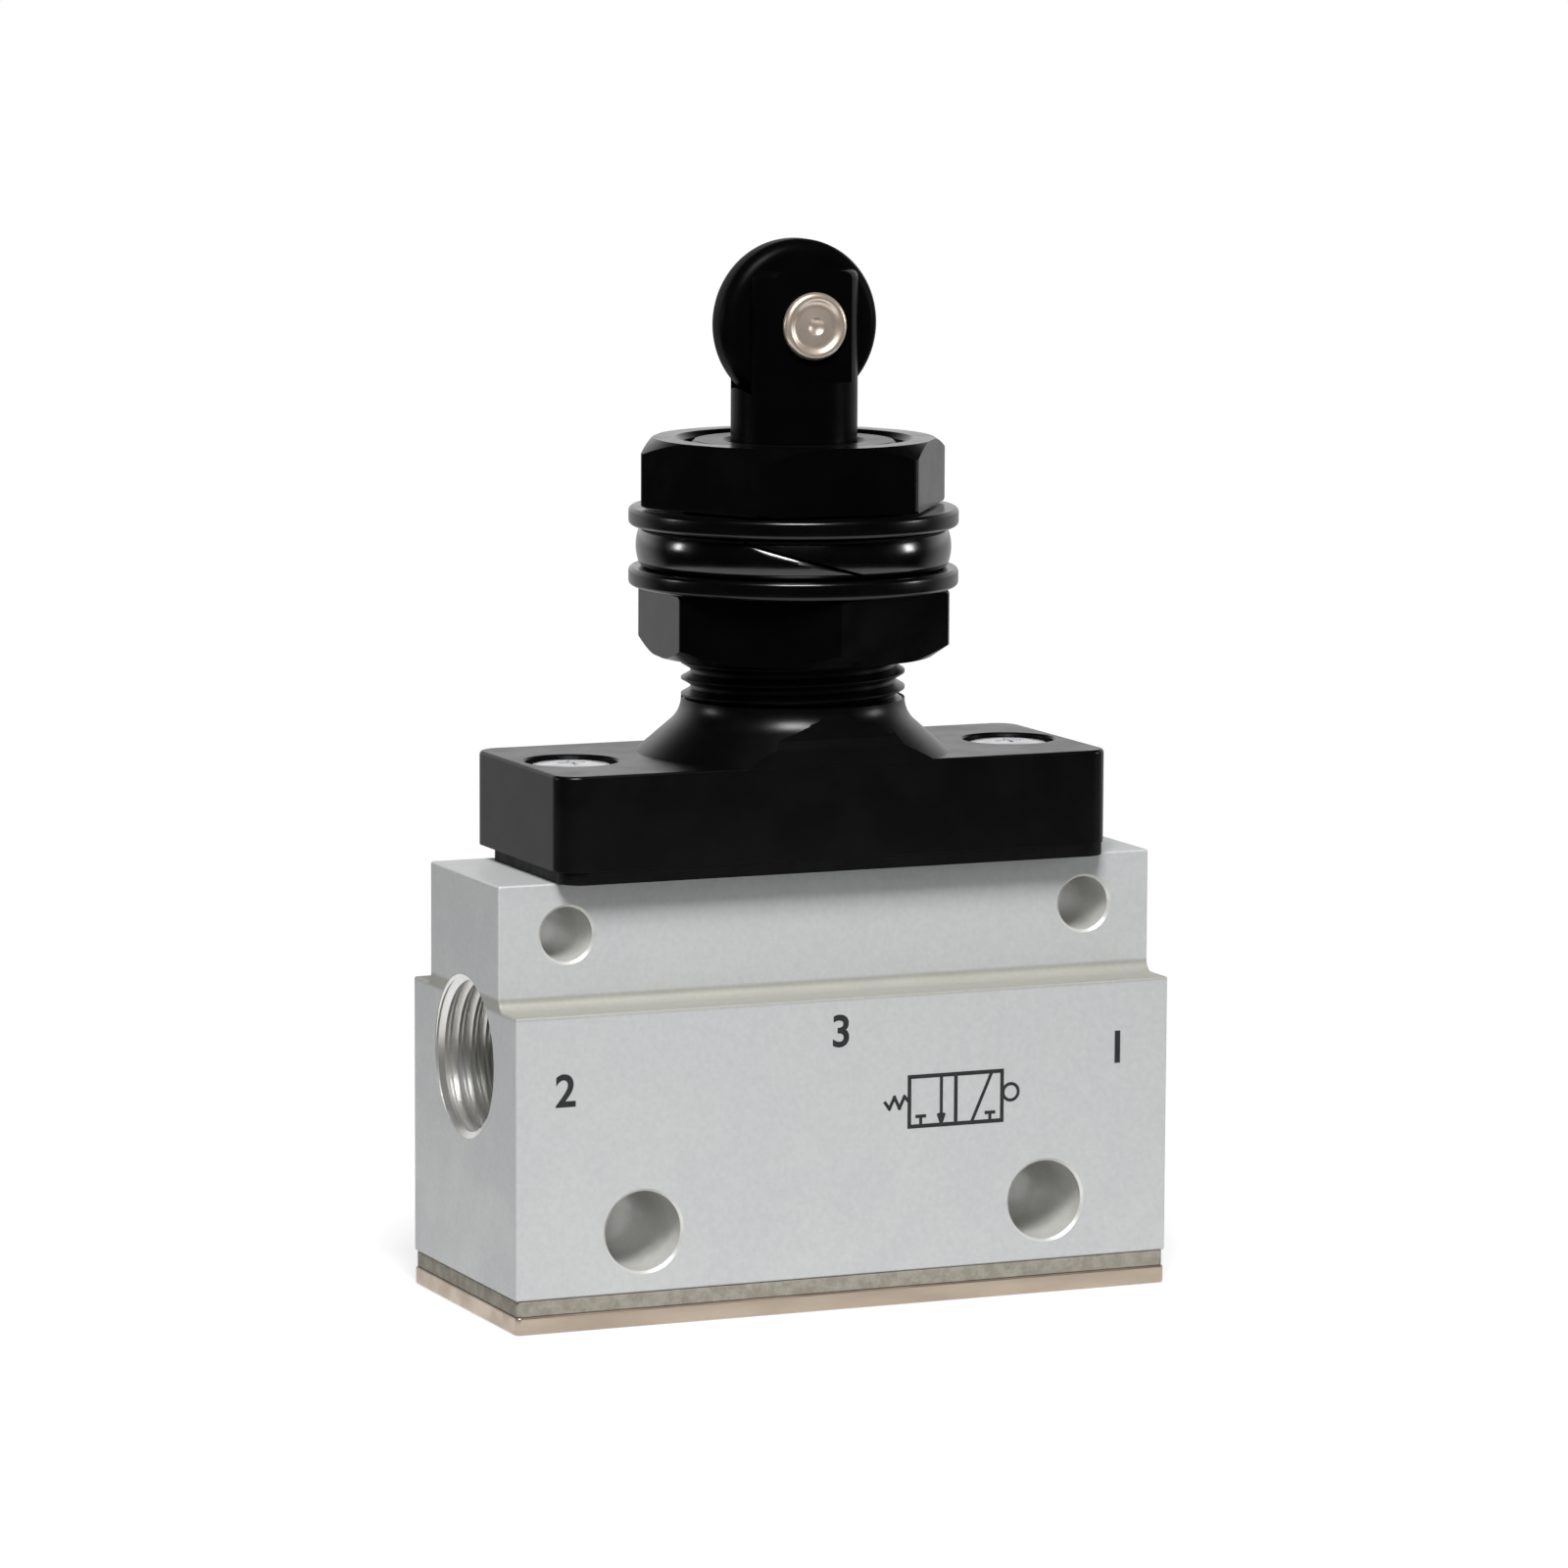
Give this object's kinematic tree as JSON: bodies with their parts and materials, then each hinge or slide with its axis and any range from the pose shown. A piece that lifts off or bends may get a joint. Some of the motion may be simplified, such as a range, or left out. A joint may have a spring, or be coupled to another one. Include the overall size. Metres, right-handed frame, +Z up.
{
  "type": "roller plunger air valve",
  "caption": "Panel-mount mechanical air valve: ported metal body, black cap with threaded neck, nuts and washers, and a sprung forked plunger with a roller.",
  "frame": {"origin": "middle of the bottom plate's underside, on the neck's axis", "axes": "+X along the body from the outlet port to the supply port, +Y away from the marked front face, +Z up along the plunger's axis to the roller"},
  "size_m": [0.044, 0.0206, 0.066],
  "materials": {
    "body_aluminium": "bead-blasted and clear anodised",
    "black_aluminium": "semi-gloss black anodised",
    "black_steel": "glossy black oxide",
    "plated_steel": "warm nickel plate",
    "zinc_steel": "bright zinc plate",
    "black_nylon": "semi-gloss moulded",
    "brass": "turned",
    "spring_wire": "stainless wire",
    "rubber": "matt nitrile",
    "gasket": "matt fibre sheet"
  },
  "bodies": {
    "valve": {"valve_body": "body_aluminium", "bottom_plate": "plated_steel", "bottom_gasket": "gasket", "plate_screw_front_left": "zinc_steel", "plate_screw_front_right": "zinc_steel", "plate_screw_back_left": "zinc_steel", "plate_screw_back_right": "zinc_steel", "spring_seat": "brass", "poppet_spring": "spring_wire", "chamber_bush": "brass", "stem_seal": "rubber", "stem_guide": "brass", "cap_gasket": "rubber", "actuator_cap": "black_aluminium", "cap_screw_left": "zinc_steel", "cap_screw_right": "zinc_steel", "plunger_spring": "spring_wire", "rod_seal": "rubber", "plunger_bush": "brass"},
    "plunger": {"roller_plunger": "black_nylon", "roller_pin": "plated_steel", "valve_stem": "spring_wire"},
    "roller": {"roller": "black_nylon"},
    "poppet": {"poppet": "brass", "poppet_seal": "rubber"},
    "lower_washers": {"lower_washer": "black_steel", "spring_washer": "black_steel"},
    "lower_nut": {"lower_panel_nut": "black_aluminium"},
    "upper_washers": {"upper_washer": "black_steel"},
    "upper_nut": {"upper_panel_nut": "black_aluminium"}
  },
  "joints": [
    {"name": "plunger_slide", "type": "slide", "parent": "valve", "child": "plunger", "axis": [0, 0, -1], "range_m": [0, 0.0018], "stiffness_N_per_m": 3000, "springref_m": -0.003, "deforming": ["plunger_spring"]},
    {"name": "roller_spin", "type": "hinge", "parent": "plunger", "child": "roller", "pos_m": [0, 0, 0.0607], "axis": [0, 1, 0], "continuous": true},
    {"name": "poppet_slide", "type": "slide", "parent": "valve", "child": "poppet", "axis": [0, 0, -1], "range_m": [0, 0.0013], "deforming": ["poppet_spring"]},
    {"name": "lower_washer_drop", "type": "slide", "parent": "valve", "child": "lower_washers", "axis": [0, 0, -1], "range_m": [0, 0.003]},
    {"name": "lower_nut_turn", "type": "hinge", "parent": "lower_washers", "child": "lower_nut", "pos_m": [0, 0, 0.04215], "axis": [0, 0, -1], "range_deg": [0, 1080]},
    {"name": "upper_washer_lift", "type": "slide", "parent": "valve", "child": "upper_washers", "axis": [0, 0, 1], "range_m": [0, 0.003]},
    {"name": "upper_nut_turn", "type": "hinge", "parent": "upper_washers", "child": "upper_nut", "pos_m": [0, 0, 0.05155], "axis": [0, 0, 1], "range_deg": [0, 1080]}
  ],
  "couplings": [
    {"joint": "poppet_slide", "follows": "plunger_slide", "ratio": 0.7222},
    {"joint": "lower_nut_turn", "follows": "lower_washer_drop", "rad_per_m": 6283.2},
    {"joint": "upper_nut_turn", "follows": "upper_washer_lift", "rad_per_m": 6283.2}
  ]
}
